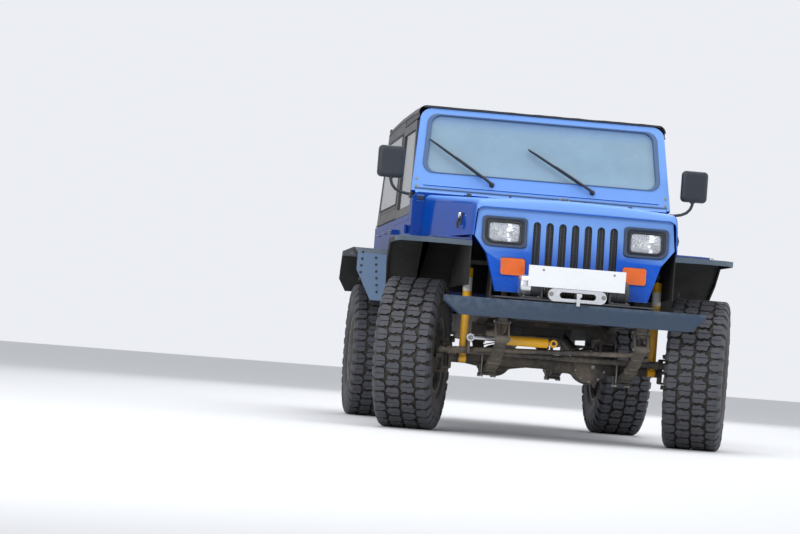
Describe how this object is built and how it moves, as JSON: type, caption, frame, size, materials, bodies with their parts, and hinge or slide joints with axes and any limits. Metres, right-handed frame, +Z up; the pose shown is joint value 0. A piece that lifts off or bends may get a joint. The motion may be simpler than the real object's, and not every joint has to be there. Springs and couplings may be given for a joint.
{
  "type": "lifted off-road 4x4",
  "caption": "Short open-tub off-road 4x4 with square headlamps, slotted grille, soft top, mud tyres, channel bumper and winch; wheels, steering, doors, hood and tailgate move.",
  "frame": {"origin": "centre of the footprint, on the floor under the tyres", "axes": "+Z up, -Y the vehicle's front, +X the vehicle's left"},
  "size_m": [2.0556, 4.095, 1.9],
  "materials": {
    "body_blue": "gloss blue paint, dusty",
    "chassis_black": "satin black, dusty",
    "axle_black": "painted casting with dirt",
    "spring_steel": "dull black steel",
    "shock_yellow": "gloss yellow",
    "engine_iron": "oily casting",
    "exhaust_steel": "weathered",
    "skid_black": "scratched satin",
    "bumper_slate": "satin blue grey, worn edges",
    "winch_black": "satin",
    "fairlead_aluminium": "polished",
    "plate_white": "blank white",
    "bezel_grey": "dark grey",
    "lamp_glass": "clear lens",
    "amber_lens": "amber lens",
    "red_lens": "red lens",
    "flare_slate": "weathered dark blue grey",
    "window_glass": "clear with a grey band",
    "trim_black": "black",
    "top_fabric": "black vinyl coated cloth",
    "clear_vinyl": "clear vinyl, scuffed",
    "roll_bar_black": "gloss black",
    "seat_fabric": "dark grey woven",
    "dash_plastic": "grained black",
    "tyre": "dusty rubber",
    "wheel_black": "satin black steel",
    "link_steel": "worn grey",
    "bright_rod": "polished rod"
  },
  "bodies": {
    "root": {"frame": "chassis_black", "crossmembers": "chassis_black", "axles": "axle_black", "leaf_springs": "spring_steel", "shock_absorbers": "shock_yellow", "engine": "engine_iron", "exhaust": "exhaust_steel", "fuel_tank": "skid_black", "front_bumper": "bumper_slate", "rear_bumper": "bumper_slate", "winch": "winch_black", "fairlead": "fairlead_aluminium", "number_plate": "plate_white", "grille": "body_blue", "headlamp_bezels": "bezel_grey", "headlamps": "lamp_glass", "turn_signals": "amber_lens", "front_fenders": "body_blue", "flares": "flare_slate", "tub": "body_blue", "windscreen_frame": "body_blue", "windscreen_glass": "window_glass", "wipers": "trim_black", "mirrors": "trim_black", "soft_top": "top_fabric", "soft_top_windows": "clear_vinyl", "roll_bar": "roll_bar_black", "seats": "seat_fabric", "dashboard": "dash_plastic", "steering_wheel": "dash_plastic", "tail_lamps": "red_lens"},
    "hood": {"hood": "body_blue"},
    "door_left": {"door_left": "body_blue", "door_window_left": "clear_vinyl"},
    "door_right": {"door_right": "body_blue", "door_window_right": "clear_vinyl"},
    "tailgate": {"tailgate": "body_blue", "tyre_spare": "tyre", "rim_spare": "wheel_black"},
    "knuckle_left": {"knuckle_left": "axle_black"},
    "knuckle_right": {"knuckle_right": "axle_black"},
    "steering_link": {"tie_rod": "link_steel"},
    "pitman_arm": {"pitman_arm": "link_steel"},
    "damper_rod": {"damper_rod": "bright_rod"},
    "wheel_front_left": {"tyre_front_left": "tyre", "rim_front_left": "wheel_black"},
    "wheel_front_right": {"tyre_front_right": "tyre", "rim_front_right": "wheel_black"},
    "wheel_rear_left": {"tyre_rear_left": "tyre", "rim_rear_left": "wheel_black"},
    "wheel_rear_right": {"tyre_rear_right": "tyre", "rim_rear_right": "wheel_black"}
  },
  "joints": [
    {"name": "steer_left", "type": "hinge", "parent": "root", "child": "knuckle_left", "pos_m": [0.622, -1.4355, 0.41342], "axis": [0, 0, 1], "range_deg": [-15, 45]},
    {"name": "steer_right", "type": "hinge", "parent": "root", "child": "knuckle_right", "pos_m": [-0.622, -1.4355, 0.41342], "axis": [0, 0, 1], "range_deg": [-15, 45]},
    {"name": "tie_rod_ball", "type": "hinge", "parent": "knuckle_left", "child": "steering_link", "pos_m": [0.58576, -1.57073, 0.44542], "axis": [0, 0, 1], "range_deg": [-45, 15]},
    {"name": "pitman_swing", "type": "hinge", "parent": "root", "child": "pitman_arm", "pos_m": [0.424, -1.6255, 0.534], "axis": [0, 0, 1], "range_deg": [-15, 45]},
    {"name": "damper_slide", "type": "slide", "parent": "root", "child": "damper_rod", "axis": [1, 0, 0], "range_m": [-0.037, 0.107]},
    {"name": "spin_front_left", "type": "hinge", "parent": "knuckle_left", "child": "wheel_front_left", "pos_m": [0.78428, -1.47898, 0.41342], "axis": [0.9659, -0.2588, 0], "continuous": true},
    {"name": "spin_front_right", "type": "hinge", "parent": "knuckle_right", "child": "wheel_front_right", "pos_m": [-0.78428, -1.39202, 0.41342], "axis": [0.9659, -0.2588, 0], "continuous": true},
    {"name": "spin_rear_left", "type": "hinge", "parent": "root", "child": "wheel_rear_left", "pos_m": [0.79, 0.9375, 0.41342], "axis": [1, 0, 0], "continuous": true},
    {"name": "spin_rear_right", "type": "hinge", "parent": "root", "child": "wheel_rear_right", "pos_m": [-0.79, 0.9375, 0.41342], "axis": [1, 0, 0], "continuous": true},
    {"name": "door_left_hinge", "type": "hinge", "parent": "root", "child": "door_left", "pos_m": [0.78, -0.4275, 1.04], "axis": [0, 0, -1], "range_deg": [0, 70]},
    {"name": "door_right_hinge", "type": "hinge", "parent": "root", "child": "door_right", "pos_m": [-0.78, -0.4275, 1.04], "axis": [0, 0, 1], "range_deg": [0, 70]},
    {"name": "hood_hinge", "type": "hinge", "parent": "root", "child": "hood", "pos_m": [0, -0.5615, 1.362], "axis": [-1, 0, 0], "range_deg": [0, 60]},
    {"name": "tailgate_hinge", "type": "hinge", "parent": "root", "child": "tailgate", "pos_m": [-0.606, 1.7055, 1.04], "axis": [0, 0, 1], "range_deg": [0, 95]}
  ],
  "couplings": [
    {"joint": "steer_right", "follows": "steer_left", "ratio": 1},
    {"joint": "tie_rod_ball", "follows": "steer_left", "ratio": -1},
    {"joint": "pitman_swing", "follows": "steer_left", "ratio": 1},
    {"joint": "damper_slide", "follows": "steer_left", "m_per_rad": 0.13369}
  ]
}
